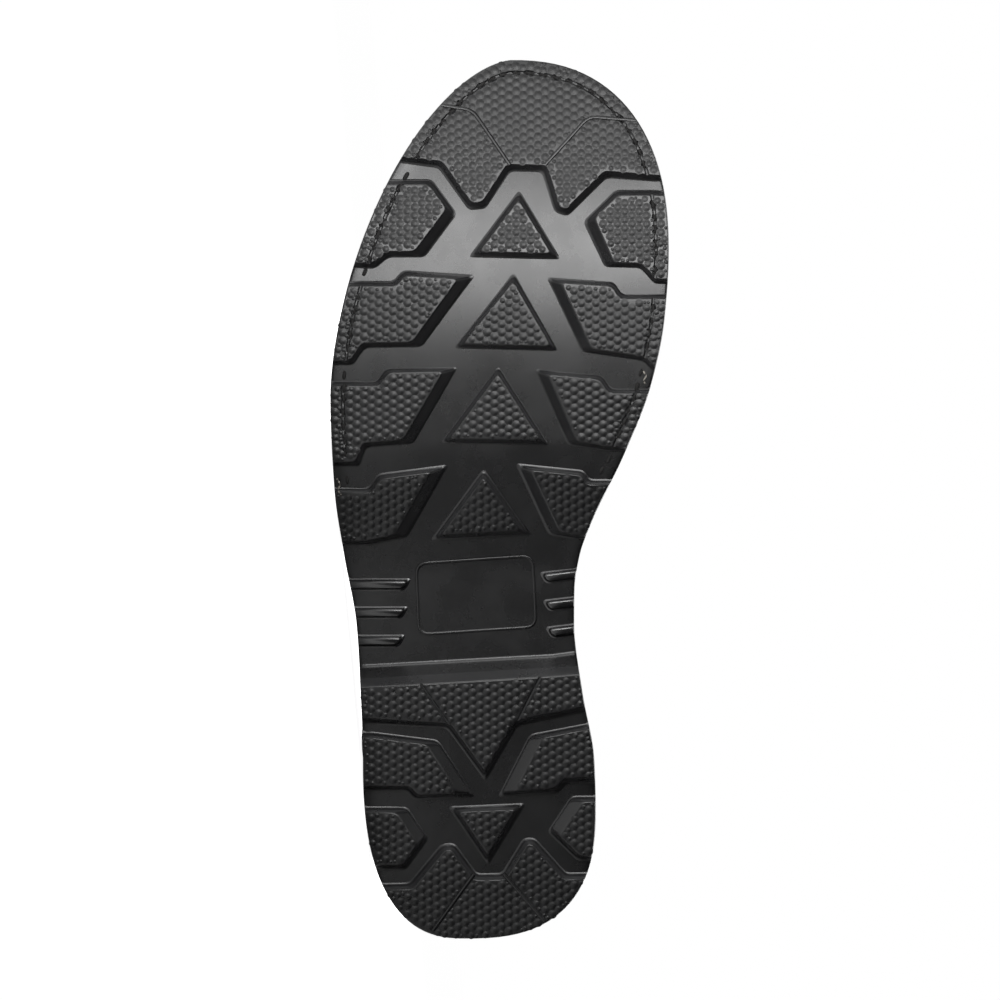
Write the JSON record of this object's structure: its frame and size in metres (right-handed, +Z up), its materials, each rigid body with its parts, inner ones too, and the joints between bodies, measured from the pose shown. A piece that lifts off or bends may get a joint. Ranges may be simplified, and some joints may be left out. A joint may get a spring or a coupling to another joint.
{
  "type": "work boot",
  "caption": "Black ankle-high lace-up work boot for the right foot, lying on its outer side, with a deep-lugged moulded rubber outsole, a stitched welt and a hollow leather upper.",
  "frame": {"origin": "centre of the bounding box, on the floor that the boot lies on", "axes": "+Z up from the floor; the sole faces -Y and the collar opens towards +Y; the toe points to -X; the inner side of the foot is up"},
  "size_m": [0.3096, 0.1818, 0.126],
  "materials": {
    "outsole_rubber": "satin moulded black rubber",
    "welt_leather": "black edge-dressed leather",
    "footbed": "dark grey felted footbed",
    "upper_leather": "black smooth leather with a low sheen",
    "lace_cord": "black woven cord",
    "eyelet_metal": "blackened metal"
  },
  "bodies": {
    "root": {"outsole": "outsole_rubber", "welt": "welt_leather", "insole": "footbed", "upper": "upper_leather", "tongue": "upper_leather", "laces": "lace_cord", "eyelet_1_inner": "eyelet_metal", "eyelet_1_outer": "eyelet_metal", "eyelet_2_inner": "eyelet_metal", "eyelet_2_outer": "eyelet_metal", "eyelet_3_inner": "eyelet_metal", "eyelet_3_outer": "eyelet_metal", "eyelet_4_inner": "eyelet_metal", "eyelet_4_outer": "eyelet_metal", "eyelet_5_inner": "eyelet_metal", "eyelet_5_outer": "eyelet_metal", "eyelet_6_inner": "eyelet_metal", "eyelet_6_outer": "eyelet_metal"}
  },
  "joints": []
}
